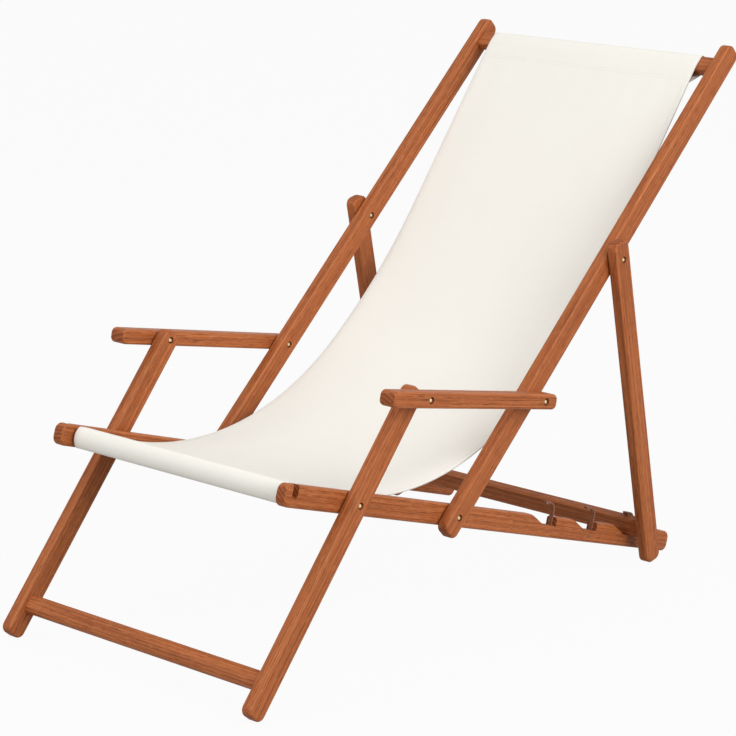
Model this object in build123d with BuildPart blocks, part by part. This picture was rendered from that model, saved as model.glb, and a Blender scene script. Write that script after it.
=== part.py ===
from build123d import *
import os
from math import acos, asin, atan2, cos, degrees, radians, sin, tan

# Folding wooden deck chair with armrests and a canvas sling, in millimetres and degrees.
# The sitter faces -Y, +X is the sitter's left and +Z is up. The origin is on the floor,
# under the middle of the chair's overall box.

# Timber sections
timber_thickness = 20.0
timber_height = 34.0
edge_radius = 4.0
end_radius = 12.0
armrest_width = 30.0
armrest_height = 24.0
armrest_end_radius = 9.0
bar_thickness = 20.0
bar_height = 30.0
sleeve_bar_corner = 6.0
strut_bar_corner = 4.0

# Widths across the chair
sling_width = 434.0
sling_side_gap = 5.0
layer_gap = 1.5

# Links between pivots, and how far each timber runs beyond its pivots
seat_link = 236.0
leg_link = 183.0
back_link = 227.0
strut_pivot_height = 506.0
rail_front = 142.0
rail_rear = 609.0
leg_below = 344.0
leg_above = 14.0
back_below = 32.0
back_length = 946.0
strut_above = 30.0
strut_below = 536.0
armrest_front = 84.0
armrest_rear = 28.0

# Cross bars, measured along the timber that carries them
front_bar_setback = 36.0
leg_bar_drop = 289.0
strut_bar_drop = 480.0
top_bar_setback = 41.0
dowel_radius = 4.0
dowel_depth = 12.0
dowel_spacing = 14.0

# Notches for the strut bar, by the bar's middle as it lies in the front one
first_seat = 259.75
seat_height = 19.66
notch_pitch = 114.0
notch_floor_length = 34.0
notch_ramp_length = 34.0
notch_corner = 20.0
notch_names = ("front", "middle", "rear")

# Footrest slot in the outer face of each seat rail
slot_setback = 19.5
slot_width = 12.0
slot_depth = 21.0
slot_inset = 12.0

# Spring catches that snap over the bar
catch_width = 7.0
catch_thickness = 2.6
catch_base_length = 24.0
catch_base_depth = 14.0
catch_wall_gap = 2.0
catch_headroom = 1.5
catch_bend_radius = 14.0
catch_bend_turn = 115.0
catch_nose_length = 3.0
catch_nose_radius = 2.0
catch_lip_length = 4.0
catch_lip_slope = 55.0
catch_pin_radius = 2.0
catch_pin_setback = 14.0
catch_pin_depth = 9.8

# Pivot hardware
shank_radius = 3.0
head_radius = 4.8
head_height = 3.0
head_rim = 1.0
head_recess = 0.8
nut_grip = 1.8
washer_radius = 9.0

# Sling
sling_thickness = 1.2
sling_front_drop = 8.2
sling_seat_radius = 509.0
sling_back_radius = 1097.0
sling_seat_rise = 36.7
sling_back_lead = 9.6
sleeve_length = 30.0
seam_margin = 8.348
seam_fold = 0.8

# Clearances
running_clearance = 0.05
fixed_clearance = 0.05
side_play = 0.1
bar_clearance = 0.3
catch_clearance = 0.2
recess_clearance = 0.7
open_pivot_slack = 0.6
sling_clearance = 0.3

quarter = radians(90)


def polar(length, angle):
    """Vector of a given length at an angle in radians."""
    return Vector(length * cos(angle), length * sin(angle))


def heading(vector):
    """Angle of a vector in radians."""
    return atan2(vector.Y, vector.X)


def flat(vector):
    """First two coordinates of a vector."""
    return vector.X, vector.Y


def apex(base, near_side, far_side):
    """Angle between the base and the near side of a triangle with these side lengths."""
    return acos((base**2 + near_side**2 - far_side**2) / (2 * base * near_side))


# Layers across the chair, from the sling outwards
rail_in = sling_width / 2 + sling_side_gap
rail_out = rail_in + timber_thickness
leg_in = rail_out + layer_gap
leg_out = leg_in + timber_thickness
arm_in = leg_out + layer_gap
strut_out = arm_in + timber_thickness
arm_out = arm_in + armrest_width

# Linkage in the seat rail's own frame, with its first axis to the rear along the rail and
# its origin at the back pivot. This armrest link lets the frame fold flat.
arm_link = seat_link + back_link - leg_link
rail_top = timber_height / 2
bar_seats = [Vector(first_seat + index * notch_pitch, seat_height) for index in range(len(notch_names))]
bar_rest = bar_seats[-1]

back_lean = heading(bar_rest) + apex(bar_rest.length, strut_pivot_height, strut_bar_drop)
back_pivot_local = Vector(0, 0)
leg_pivot_local = Vector(-seat_link, 0)
arm_rear_local = polar(back_link, back_lean)
strut_pivot_local = polar(strut_pivot_height, back_lean)
arm_span = arm_rear_local - leg_pivot_local
leg_lean = heading(arm_span) + apex(arm_span.length, leg_link, arm_link)
arm_front_local = leg_pivot_local + polar(leg_link, leg_lean)
arm_lean = heading(arm_rear_local - arm_front_local)
strut_lean = heading(strut_pivot_local - bar_rest)

# How far the leaning bar reaches from its middle, and the notch that takes it
bar_flat = bar_height / 2 - strut_bar_corner
bar_side = bar_thickness / 2 - strut_bar_corner
bar_crown = bar_flat * sin(strut_lean) + bar_side * abs(cos(strut_lean)) + strut_bar_corner
bar_rear = bar_flat * abs(cos(strut_lean)) + bar_side * sin(strut_lean) + strut_bar_corner
seat_drop = bar_crown + bar_clearance
seat_back = bar_rear + bar_clearance
notch_floor = seat_height - seat_drop
notch_depth = rail_top - notch_floor


def end_rounds(pivot, angle, reach):
    """Centres of the corner rounds at the end of a timber, left-hand one first."""
    side = timber_height / 2 - end_radius
    tip = pivot + polar(reach - end_radius, angle)
    return [tip + polar(side, angle + quarter), tip + polar(side, angle - quarter)]


# The chair stands on the lower rounds of the feet and of the rails' rear ends
foot_rounds = end_rounds(leg_pivot_local, leg_lean + 2 * quarter, leg_below)
rail_rounds = end_rounds(back_pivot_local, 0, rail_rear)
back_rounds = end_rounds(back_pivot_local, back_lean, back_length)
tilt = -heading(rail_rounds[1] - foot_rounds[0])


def turned(point):
    """A rail-frame point turned so that the floor is level."""
    return polar(point.length, heading(point) + tilt)


front_reach = min(turned(centre).X for centre in foot_rounds) - end_radius
rear_reach = max(turned(centre).X for centre in back_rounds + rail_rounds) + end_radius
shift = Vector(-(front_reach + rear_reach) / 2, end_radius - turned(rail_rounds[1]).Y)


def placed(point):
    """A rail-frame point in the chair's frame, as (y, z)."""
    return flat(turned(point) + shift)


back_pivot = placed(back_pivot_local)
leg_pivot = placed(leg_pivot_local)
arm_front_pivot = placed(arm_front_local)
arm_rear_pivot = placed(arm_rear_local)
strut_pivot = placed(strut_pivot_local)
rail_angle = tilt
leg_angle = leg_lean + tilt
back_angle = back_lean + tilt
arm_angle = arm_lean + tilt
strut_angle = strut_lean + tilt

# Where the cross bars meet their timbers, with the angle of each bar's height
front_bar_point = placed(Vector(front_bar_setback - seat_link - rail_front, 0))
front_bar_angle = rail_angle + quarter
leg_bar_point = placed(leg_pivot_local - polar(leg_bar_drop, leg_lean))
strut_bar_point = placed(strut_pivot_local - polar(strut_bar_drop, strut_lean))
top_bar_point = placed(polar(back_length - top_bar_setback, back_lean))


def side_plane(x, point, angle, outward=1):
    """Plane across X through a (y, z) point, with its first axis at the angle."""
    return Plane(origin=(x, *point), x_dir=(0, cos(angle), sin(angle)), z_dir=(outward, 0, 0))


def save(part, label):
    """Label a finished piece and write its file."""
    part.label = label
    export_step(part, f"parts/{label}.step")


def save_pair(left_part, label):
    """Write a left piece and its mirror image on the right."""
    save(left_part, f"{label}_left")
    with BuildPart() as right:
        mirror(left_part, about=Plane.YZ)
    save(right.part, f"{label}_right")


def timber(plane, behind, ahead, height, thickness, corner):
    """Timber along its plane's first axis, with rounded ends and eased edges."""
    with BuildPart() as blank:
        with BuildSketch(plane):
            with Locations(((ahead - behind) / 2, 0)):
                RectangleRounded(behind + ahead, height, corner)
        extrude(amount=thickness)
        fillet(blank.faces().filter_by(Axis.X).edges(), edge_radius)
    return blank.part


shank_bore = shank_radius + running_clearance
recess_radius = head_radius + recess_clearance
recess_depth = head_height + head_recess


def pivot_hole(x, point, outward, slack=0.0):
    """Cut a pivot bore, with a recess for the bolt head or nut in the given face."""
    with Locations(side_plane(x, point, 0, outward)):
        CounterBoreHole(shank_bore + slack, recess_radius + slack, recess_depth)


def dowel_holes(x, point, angle, outward):
    """Cut the two dowel holes of a cross bar's joint into the given face."""
    with Locations(side_plane(x, point, angle, outward)):
        with GridLocations(dowel_spacing, 0, 2, 1):
            Hole(dowel_radius + fixed_clearance, depth=dowel_depth + side_play)


def dowels(half_length, point, angle):
    """Dowels at both ends of a cross bar."""
    with BuildPart() as pegs:
        for end in (half_length, -half_length):
            with BuildSketch(side_plane(end, point, angle)):
                with GridLocations(dowel_spacing, 0, 2, 1):
                    Circle(dowel_radius)
        extrude(amount=dowel_depth, both=True)
    return pegs.part


os.makedirs("parts", exist_ok=True)

# Spring catch, drawn from the bar's seat in its notch: up between the bar and the notch's
# wall, bent forward over the bar's crown, then up again at the lip
catch_stem = seat_back + catch_clearance + catch_thickness / 2
catch_back = catch_stem + catch_thickness / 2
bend_rise = bar_crown + catch_headroom + catch_thickness / 2 - catch_bend_radius
bend_run = catch_bend_radius * tan(radians(catch_bend_turn / 2))
catch_foot = Vector(catch_stem, -seat_drop - catch_base_depth)
catch_bend = Vector(catch_stem, bend_rise + bend_run)
catch_nose = catch_bend + polar(bend_run + catch_nose_length, quarter + radians(catch_bend_turn))
catch_lip = catch_nose + polar(catch_lip_length, radians(180 - catch_lip_slope))
catch_spine = (catch_foot, catch_bend, catch_nose, catch_lip)
catch_base = Vector(catch_back - catch_base_length / 2, -seat_drop - catch_base_depth / 2)
catch_pin = Vector(seat_back - catch_pin_setback, -seat_drop - catch_pin_depth)
catch_pin_points = [flat(seat + catch_pin) for seat in bar_seats]
rail_middle = side_plane(rail_in + timber_thickness / 2, back_pivot, rail_angle)
rail_outside = side_plane(rail_out, back_pivot, rail_angle)

# Seat rails, with notches, catch mortises and the footrest slot
with BuildPart() as seat_rail_left:
    add(timber(side_plane(rail_in, back_pivot, rail_angle), seat_link + rail_front, rail_rear,
               timber_height, timber_thickness, end_radius))
    with BuildSketch(rail_outside) as notches:
        for seat in bar_seats:
            wall = seat.X + catch_back + catch_wall_gap
            ramp_foot = wall - notch_floor_length
            ramp_head = ramp_foot - notch_ramp_length
            with BuildLine():
                Polyline(
                    (wall, notch_floor), (wall, rail_top + notch_depth),
                    (ramp_head, rail_top + notch_depth), (ramp_head, rail_top),
                    (ramp_foot, notch_floor), close=True,
                )
            make_face()
        fillet(notches.vertices().group_by(Axis.Y)[0].sort_by(Axis.X)[::2], notch_corner)
    extrude(amount=-timber_thickness, mode=Mode.SUBTRACT)
    with BuildSketch(rail_middle):
        for seat in bar_seats:
            with Locations(flat(seat + catch_base)):
                Rectangle(catch_base_length + 2 * catch_clearance, catch_base_depth + 2 * catch_clearance)
    extrude(amount=catch_width / 2 + catch_clearance, both=True, mode=Mode.SUBTRACT)
    with Locations(rail_outside):
        with Locations(catch_pin_points):
            Hole(catch_pin_radius + fixed_clearance)
    with BuildSketch(rail_outside):
        with Locations((slot_setback - seat_link - rail_front, rail_top)):
            SlotOverall(2 * slot_depth, slot_width, rotation=90)
    extrude(amount=-slot_inset, mode=Mode.SUBTRACT)
    pivot_hole(rail_in, leg_pivot, -1)
    pivot_hole(rail_in, back_pivot, -1)
    dowel_holes(rail_in, front_bar_point, front_bar_angle, -1)
save_pair(seat_rail_left.part, "seat_rail")

# Legs
with BuildPart() as leg_left:
    add(timber(side_plane(leg_in, leg_pivot, leg_angle), leg_below, leg_link + leg_above,
               timber_height, timber_thickness, end_radius))
    pivot_hole(leg_out, leg_pivot, 1)
    pivot_hole(leg_in, arm_front_pivot, -1)
    dowel_holes(leg_in, leg_bar_point, leg_angle, -1)
save_pair(leg_left.part, "leg")

# Back rails
with BuildPart() as back_rail_left:
    add(timber(side_plane(leg_in, back_pivot, back_angle), back_below, back_length,
               timber_height, timber_thickness, end_radius))
    pivot_hole(leg_out, back_pivot, 1)
    pivot_hole(leg_in, arm_rear_pivot, -1)
    pivot_hole(leg_in, strut_pivot, -1)
    dowel_holes(leg_in, top_bar_point, back_angle, -1)
save_pair(back_rail_left.part, "back_rail")

# Struts
with BuildPart() as strut_left:
    add(timber(side_plane(arm_in, strut_pivot, strut_angle), strut_below, strut_above,
               timber_height, timber_thickness, end_radius))
    pivot_hole(strut_out, strut_pivot, 1)
    dowel_holes(arm_in, strut_bar_point, strut_angle, -1)
save_pair(strut_left.part, "strut")

# Armrests, with slack at the rear pivot
with BuildPart() as armrest_left:
    add(timber(side_plane(arm_in, arm_front_pivot, arm_angle), armrest_front, arm_link + armrest_rear,
               armrest_height, armrest_width, armrest_end_radius))
    pivot_hole(arm_out, arm_front_pivot, 1)
    pivot_hole(arm_out, arm_rear_pivot, 1, open_pivot_slack)
save_pair(armrest_left.part, "armrest")

# Front bar and top bar, which carry the sling
with BuildPart() as front_bar:
    with BuildSketch(side_plane(0, front_bar_point, front_bar_angle)):
        RectangleRounded(bar_height, bar_thickness, sleeve_bar_corner)
    extrude(amount=rail_in, both=True)
    dowel_holes(rail_in, front_bar_point, front_bar_angle, 1)
    dowel_holes(-rail_in, front_bar_point, front_bar_angle, -1)
save(front_bar.part, "front_bar")
save(dowels(rail_in, front_bar_point, front_bar_angle), "front_bar_dowels")

with BuildPart() as top_bar:
    with BuildSketch(side_plane(0, top_bar_point, back_angle)):
        RectangleRounded(bar_height, bar_thickness, sleeve_bar_corner)
    extrude(amount=leg_in, both=True)
    dowel_holes(leg_in, top_bar_point, back_angle, 1)
    dowel_holes(-leg_in, top_bar_point, back_angle, -1)
save(top_bar.part, "top_bar")
save(dowels(leg_in, top_bar_point, back_angle), "top_bar_dowels")

# Cross bar of the legs, with full-round edges, and the one of the struts, with eased edges
with BuildPart() as leg_cross_bar:
    with BuildSketch(side_plane(0, leg_bar_point, leg_angle)):
        SlotOverall(bar_height, bar_thickness)
    extrude(amount=leg_in, both=True)
    dowel_holes(leg_in, leg_bar_point, leg_angle, 1)
    dowel_holes(-leg_in, leg_bar_point, leg_angle, -1)
save(leg_cross_bar.part, "leg_cross_bar")
save(dowels(leg_in, leg_bar_point, leg_angle), "leg_bar_dowels")

with BuildPart() as strut_cross_bar:
    with BuildSketch(side_plane(0, strut_bar_point, strut_angle)):
        RectangleRounded(bar_height, bar_thickness, strut_bar_corner)
    extrude(amount=arm_in, both=True)
    dowel_holes(arm_in, strut_bar_point, strut_angle, 1)
    dowel_holes(-arm_in, strut_bar_point, strut_angle, -1)
save(strut_cross_bar.part, "strut_cross_bar")
save(dowels(arm_in, strut_bar_point, strut_angle), "strut_bar_dowels")

# Catches and the pins that hold them
for name, seat, pin_point in zip(notch_names, bar_seats, catch_pin_points):
    with BuildPart() as catch:
        with BuildSketch(rail_middle):
            with BuildLine() as hook:
                FilletPolyline(
                    *[flat(seat + point) for point in catch_spine],
                    radius=[catch_bend_radius, catch_nose_radius],
                )
            trace(hook.line, catch_thickness)
            with Locations(flat(seat + catch_base)):
                Rectangle(catch_base_length, catch_base_depth)
        extrude(amount=catch_width / 2, both=True)
        with Locations(rail_outside):
            with Locations(pin_point):
                Hole(catch_pin_radius + fixed_clearance)
    save_pair(catch.part, f"{name}_catch")

with BuildPart() as catch_pins:
    with BuildSketch(rail_middle):
        with Locations(catch_pin_points):
            Circle(catch_pin_radius)
    extrude(amount=timber_thickness / 2, both=True)
    mirror(about=Plane.YZ)
save(catch_pins.part, "catch_pins")


def domed_head(core, seat, outward):
    """Draw half of a domed head as (radius, x), from its flat face at seat to its crown."""
    rim = seat + outward * head_rim
    crown = seat + outward * head_height
    rise = head_height - head_rim
    dome = (head_radius**2 + rise**2) / (2 * rise)
    half_turn = asin(head_radius / dome) / 2
    shoulder = (dome * sin(half_turn), crown - outward * dome * (1 - cos(half_turn)))
    Polyline((core, seat), (head_radius, seat), (head_radius, rim))
    ThreePointArc((head_radius, rim), shoulder, (0, crown))


def save_pivot(point, inner_face, joint_face, outer_face, label):
    """Write the bolts, nuts and washers of one pivot on both sides of the chair."""
    profile_plane = Plane(origin=(0, *point), x_dir=(0, 1, 0), z_dir=(0, 0, -1))
    pivot_axis = Axis((0, *point), (1, 0, 0))
    head_seat = outer_face - recess_depth + side_play
    nut_seat = inner_face + recess_depth - side_play
    shank_end = nut_seat - nut_grip
    with BuildPart() as bolts:
        with BuildSketch(profile_plane):
            with BuildLine():
                domed_head(shank_radius, head_seat, 1)
                Polyline(
                    (0, head_seat + head_height), (0, shank_end), (shank_radius, shank_end),
                    (shank_radius, head_seat),
                )
            make_face()
        revolve(axis=pivot_axis)
        mirror(about=Plane.YZ)
    save(bolts.part, f"{label}_bolts")
    bore_end = shank_end - side_play
    with BuildPart() as nuts:
        with BuildSketch(profile_plane):
            with BuildLine():
                domed_head(shank_bore, nut_seat, -1)
                Polyline(
                    (0, nut_seat - head_height), (0, bore_end), (shank_bore, bore_end),
                    (shank_bore, nut_seat),
                )
            make_face()
        revolve(axis=pivot_axis)
        mirror(about=Plane.YZ)
    save(nuts.part, f"{label}_nuts")
    with BuildPart() as washers:
        with BuildSketch(side_plane(joint_face + side_play, point, 0)):
            Circle(washer_radius)
            Circle(shank_bore, mode=Mode.SUBTRACT)
        extrude(amount=layer_gap - 2 * side_play)
        mirror(about=Plane.YZ)
    save(washers.part, f"{label}_washers")


save_pivot(leg_pivot, rail_in, rail_out, leg_out, "leg_pivot")
save_pivot(back_pivot, rail_in, rail_out, leg_out, "back_pivot")
save_pivot(arm_front_pivot, leg_in, leg_out, arm_out, "armrest_front_pivot")
save_pivot(arm_rear_pivot, leg_in, leg_out, arm_out, "armrest_rear_pivot")
save_pivot(strut_pivot, leg_in, leg_out, strut_out, "strut_pivot")

# Sling, in the side view: straight down from the front bar past the seam, round the front
# and the seat, up the back and over the front of the top bar
corner_lay = sleeve_bar_corner + sling_clearance + sling_thickness / 2
sleeve_lay = sling_clearance + sling_thickness
seam_radius = sling_thickness + seam_fold
fall_angle = rail_angle - radians(sling_front_drop)
seat_angle = radians(sling_seat_rise)
rise_angle = back_angle + radians(sling_back_lead)


def bar_corner(point, angle, along, across):
    """Centre of one corner round of a sleeve bar."""
    reach = polar(along * (bar_height / 2 - sleeve_bar_corner), angle)
    side = polar(across * (bar_thickness / 2 - sleeve_bar_corner), angle + quarter)
    return Vector(*point) + reach + side


def arc_step(radius, start, end):
    """Displacement along an arc that turns left from one heading to another."""
    return Vector(radius * (sin(end) - sin(start)), radius * (cos(start) - cos(end)))


sling_start = bar_corner(front_bar_point, front_bar_angle, 1, -1) + polar(corner_lay, fall_angle + quarter)
sling_end = bar_corner(top_bar_point, back_angle, -1, 1) + polar(corner_lay, rise_angle + quarter)
fall_length = sleeve_length + seam_margin
front_start = sling_start + polar(fall_length, fall_angle)
seat_arc = arc_step(sling_seat_radius, 0, seat_angle)
back_arc = arc_step(sling_back_radius, seat_angle, rise_angle)

# The radius of the front arc and the straight below the top bar close the line
front_turn = arc_step(1, fall_angle, 0)
climb = polar(1, rise_angle)
gap = sling_end - front_start - seat_arc - back_arc
spread = front_turn.X * climb.Y - front_turn.Y * climb.X
sling_front_radius = (gap.X * climb.Y - gap.Y * climb.X) / spread
rise_length = (front_turn.X * gap.Y - front_turn.Y * gap.X) / spread
front_seam = sling_start + polar(sleeve_length, fall_angle)
top_seam = sling_end - polar(sleeve_length, rise_angle)


def sheet_side(rise):
    """Draw one side of the sheet, from seam to seam, and return its two end points."""
    first = front_seam + polar(rise, fall_angle + quarter)
    last = top_seam + polar(rise, rise_angle + quarter)
    fall = Line(flat(first), flat(front_start + polar(rise, fall_angle + quarter)))
    front = JernArc(fall @ 1, fall % 1, sling_front_radius - rise, degrees(-fall_angle))
    seat = JernArc(front @ 1, front % 1, sling_seat_radius - rise, degrees(seat_angle))
    back = JernArc(seat @ 1, seat % 1, sling_back_radius - rise, degrees(rise_angle - seat_angle))
    Line(back @ 1, flat(last))
    return flat(first), flat(last)


def band(rounds, inset):
    """Draw a band stretched round circles, given anticlockwise as (centre, radius)."""
    followers = rounds[1:] + rounds[:1]
    leads = []
    for (centre, radius), (next_centre, next_radius) in zip(rounds, followers):
        step = next_centre - centre
        leads.append(heading(step) - asin((next_radius - radius) / step.length))
    for index, (centre, radius) in enumerate(rounds):
        next_centre, next_radius = followers[index]
        arriving, leaving = leads[index - 1], leads[index]
        turn = degrees(leaving - arriving) % 360
        CenterArc(flat(centre), radius - inset, degrees(arriving - quarter), turn)
        Line(
            flat(centre + polar(radius - inset, leaving - quarter)),
            flat(next_centre + polar(next_radius - inset, leaving - quarter)),
        )


def seam_round(seam, face_angle):
    """Round of the hem where a sleeve is sewn to the back of the sheet."""
    return seam - polar(seam_radius - sling_thickness / 2, face_angle), seam_radius


def bar_rounds(point, angle, corners):
    """Rounds of the sleeve over the named corners of a bar."""
    return [(bar_corner(point, angle, *corner), sleeve_bar_corner + sleeve_lay) for corner in corners]


front_rounds = bar_rounds(front_bar_point, front_bar_angle, [(1, -1), (1, 1), (-1, 1), (-1, -1)])
front_rounds.append(seam_round(front_seam, fall_angle + quarter))
top_rounds = bar_rounds(top_bar_point, back_angle, [(-1, -1), (1, -1), (1, 1), (-1, 1)])
top_rounds.append(seam_round(top_seam, rise_angle + quarter))

with BuildPart() as canvas_sling:
    with BuildSketch(Plane.YZ):
        with BuildLine():
            upper_first, upper_last = sheet_side(sling_thickness / 2)
            lower_first, lower_last = sheet_side(-sling_thickness / 2)
            Line(upper_first, lower_first)
            Line(upper_last, lower_last)
        make_face()
        for rounds in (front_rounds, top_rounds):
            with BuildLine():
                band(rounds, 0)
            make_face()
        for rounds in (front_rounds, top_rounds):
            with BuildLine():
                band(rounds, sling_thickness)
            make_face(mode=Mode.SUBTRACT)
    extrude(amount=sling_width / 2, both=True)
save(canvas_sling.part, "canvas_sling")

sheet_length = fall_length - sling_front_radius * fall_angle + sling_seat_radius * seat_angle
sheet_length += sling_back_radius * (rise_angle - seat_angle) + rise_length
print("leg pivot", leg_pivot)
print("back pivot", back_pivot)
print("armrest pivots", arm_front_pivot, arm_rear_pivot)
print("strut pivot", strut_pivot)
print("rail, leg, back, armrest and strut angles",
      [round(degrees(angle), 3) for angle in (rail_angle, leg_angle, back_angle, arm_angle, strut_angle)])
print("sheet between the bars", round(sheet_length, 1))
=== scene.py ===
import logging
import math
from dataclasses import dataclass, field
from enum import Enum
from typing import Any, Iterator, Optional, Union

import bmesh
import bpy
from mathutils import Matrix, Quaternion, Vector


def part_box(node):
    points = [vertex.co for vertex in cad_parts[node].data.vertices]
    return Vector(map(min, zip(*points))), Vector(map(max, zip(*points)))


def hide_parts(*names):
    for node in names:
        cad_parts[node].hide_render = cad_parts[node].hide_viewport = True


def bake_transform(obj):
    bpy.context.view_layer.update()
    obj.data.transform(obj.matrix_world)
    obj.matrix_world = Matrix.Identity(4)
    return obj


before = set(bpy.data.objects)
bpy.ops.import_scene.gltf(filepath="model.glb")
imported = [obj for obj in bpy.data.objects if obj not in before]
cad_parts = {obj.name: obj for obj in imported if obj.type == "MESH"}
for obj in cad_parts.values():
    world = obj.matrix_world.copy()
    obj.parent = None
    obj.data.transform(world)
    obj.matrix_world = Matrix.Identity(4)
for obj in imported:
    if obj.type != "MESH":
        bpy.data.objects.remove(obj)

log = logging.getLogger("deck_chair")

Point = tuple[float, float]
Triple = tuple[float, float, float]
Colour = Triple
Number = Union["Value", float]
Socket = Union[str, int]
Owner = Union[bpy.types.Material, bpy.types.World]

QUARTER_TURN = math.pi / 2
GOLDEN_SHARE = 0.6180339887
NOISE_MEAN = 0.5
LEAST_BEND = 1e-9
ZERO: Triple = (0.0, 0.0, 0.0)
WHITE: Colour = (1.0, 1.0, 1.0)
# The colour sockets of a Mix node share their names with others, so they go by number.
MIX_FACTOR, MIX_FIRST, MIX_SECOND, MIX_RESULT = 0, 6, 7, 2


class Side(Enum):
    """The two sides of the chair, as the sitter has them."""

    LEFT = "left"
    RIGHT = "right"


class Pivot(Enum):
    """The five pivots, each with a bolt, a nut and a washer on both sides."""

    LEG = "leg_pivot"
    BACK = "back_pivot"
    ARMREST_FRONT = "armrest_front_pivot"
    ARMREST_REAR = "armrest_rear_pivot"
    STRUT = "strut_pivot"

    @property
    def place(self) -> Point:
        """Where the pivot's axis crosses the side view, as (y, z)."""
        return middle(f"{self.value}_washers")


class Timber(Enum):
    """The timbers that the chair has on both sides."""

    SEAT_RAIL = "seat_rail"
    LEG = "leg"
    BACK_RAIL = "back_rail"
    ARMREST = "armrest"
    STRUT = "strut"


class Bar(Enum):
    """The bars from side to side."""

    FRONT = "front_bar"
    TOP = "top_bar"
    LEG = "leg_cross_bar"
    STRUT = "strut_cross_bar"

    @property
    def dowels(self) -> str:
        """The node of the dowels that join the bar to its timbers."""
        return f"{self.name.lower()}_bar_dowels"


class Notch(Enum):
    """The notches of a seat rail, each with its catch."""

    FRONT = "front"
    MIDDLE = "middle"
    REAR = "rear"


class Row(Enum):
    """The way a stitch lies on the cloth."""

    ALONG = "along the chair"
    ACROSS = "across the chair"


def middle(node: str) -> Point:
    """The middle of a node's box in the side view, as (y, z)."""
    low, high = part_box(node)
    return (low.y + high.y) / 2, (low.z + high.z) / 2


def heading(start: Point, end: Point) -> float:
    """The angle from one side-view point to another, in radians above +Y."""
    return math.atan2(end[1] - start[1], end[0] - start[0])


def along(point: Point, angle: float, forward: float, upward: float) -> Point:
    """Steps from a side-view point along an angle and square to it.

    Args:
        point: The start, as (y, z).
        angle: The direction of forward, in radians.
        forward: Distance along the angle.
        upward: Distance to the left of the angle.

    Returns:
        The new point, as (y, z).
    """
    c, s = math.cos(angle), math.sin(angle)
    return point[0] + forward * c - upward * s, point[1] + forward * s + upward * c


def spread(index: int, low: float, high: float) -> float:
    """An even, repeatable scatter of numbers between low and high.

    Args:
        index: Which number of the scatter.
        low: Its least value.
        high: Its greatest value.

    Returns:
        The number.
    """
    return low + (high - low) * ((index + 1) * GOLDEN_SHARE % 1.0)


def tilted(angle: float) -> Matrix:
    """Axes of a timber in the side view: Y along it and Z square to it."""
    return Matrix.Rotation(angle, 3, "X")


def crosswise(angle: float) -> Matrix:
    """Axes of a bar from side to side: Y along it, X and Z in the side view."""
    return tilted(angle) @ Matrix.Rotation(-QUARTER_TURN, 3, "Z")


def cover(node: str, material: bpy.types.Material) -> None:
    """Puts one material on every slot of a node.

    Args:
        node: The node's name.
        material: What to put there.
    """
    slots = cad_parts[node].data.materials
    for number in range(len(slots)):
        slots[number] = material


def new_piece(
    name: str, mesh: bmesh.types.BMesh, material: bpy.types.Material
) -> bpy.types.Object:
    """Turns a finished bmesh into an object at the origin.

    Args:
        name: The object's name.
        mesh: The shape, which is freed.
        material: What it is made of.

    Returns:
        The object.
    """
    data = bpy.data.meshes.new(name)
    mesh.to_mesh(data)
    mesh.free()
    data.materials.append(material)
    piece = bpy.data.objects.new(name, data)
    bpy.context.scene.collection.objects.link(piece)
    return piece


class Value:
    """A node's output that takes part in shader arithmetic."""

    def __init__(self, graph: "Graph", socket: bpy.types.NodeSocket) -> None:
        """Keeps the graph that adds nodes and the socket that it wraps."""
        self.graph = graph
        self.socket = socket

    def __add__(self, other: Number) -> "Value":
        """Sum of this and another value."""
        return self.graph.math("ADD", self, other)

    __radd__ = __add__

    def __sub__(self, other: Number) -> "Value":
        """This less another value."""
        return self.graph.math("SUBTRACT", self, other)

    def __rsub__(self, other: Number) -> "Value":
        """Another value less this."""
        return self.graph.math("SUBTRACT", other, self)

    def __mul__(self, other: Number) -> "Value":
        """Product of this and another value."""
        return self.graph.math("MULTIPLY", self, other)

    __rmul__ = __mul__

    def __truediv__(self, other: Number) -> "Value":
        """This divided by another value."""
        return self.graph.math("DIVIDE", self, other)

    def __rtruediv__(self, other: Number) -> "Value":
        """Another value divided by this."""
        return self.graph.math("DIVIDE", other, self)

    def __abs__(self) -> "Value":
        """The size of this value without its sign."""
        return self.graph.math("ABSOLUTE", self)

    def fraction(self) -> "Value":
        """What is left of this value above its whole number."""
        return self.graph.math("FRACT", self)

    def sine(self) -> "Value":
        """The sine of this value."""
        return self.graph.math("SINE", self)

    def root(self) -> "Value":
        """The square root of this value."""
        return self.graph.math("SQRT", self)

    def step(self, low: float, high: float) -> "Value":
        """A smooth rise from 0 at low to 1 at high.

        Args:
            low: Where the rise starts.
            high: Where it ends.

        Returns:
            The risen value, between 0 and 1.
        """
        return self.graph.node(
            "ShaderNodeMapRange",
            {"interpolation_type": "SMOOTHSTEP"},
            {"Value": self, "From Min": low, "From Max": high},
        )


@dataclass(frozen=True)
class Figure:
    """One layer of marks in a finish: its noise, and how far it tells on the surface.

    The cells are counted in a metre along X, Y and Z, and the marks rise from low to high.
    """

    cells: Triple
    detail: float
    low: float = 0.0
    high: float = 1.0
    colour: float = 0.0
    rough: float = 0.0
    height: float = 0.0


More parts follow.
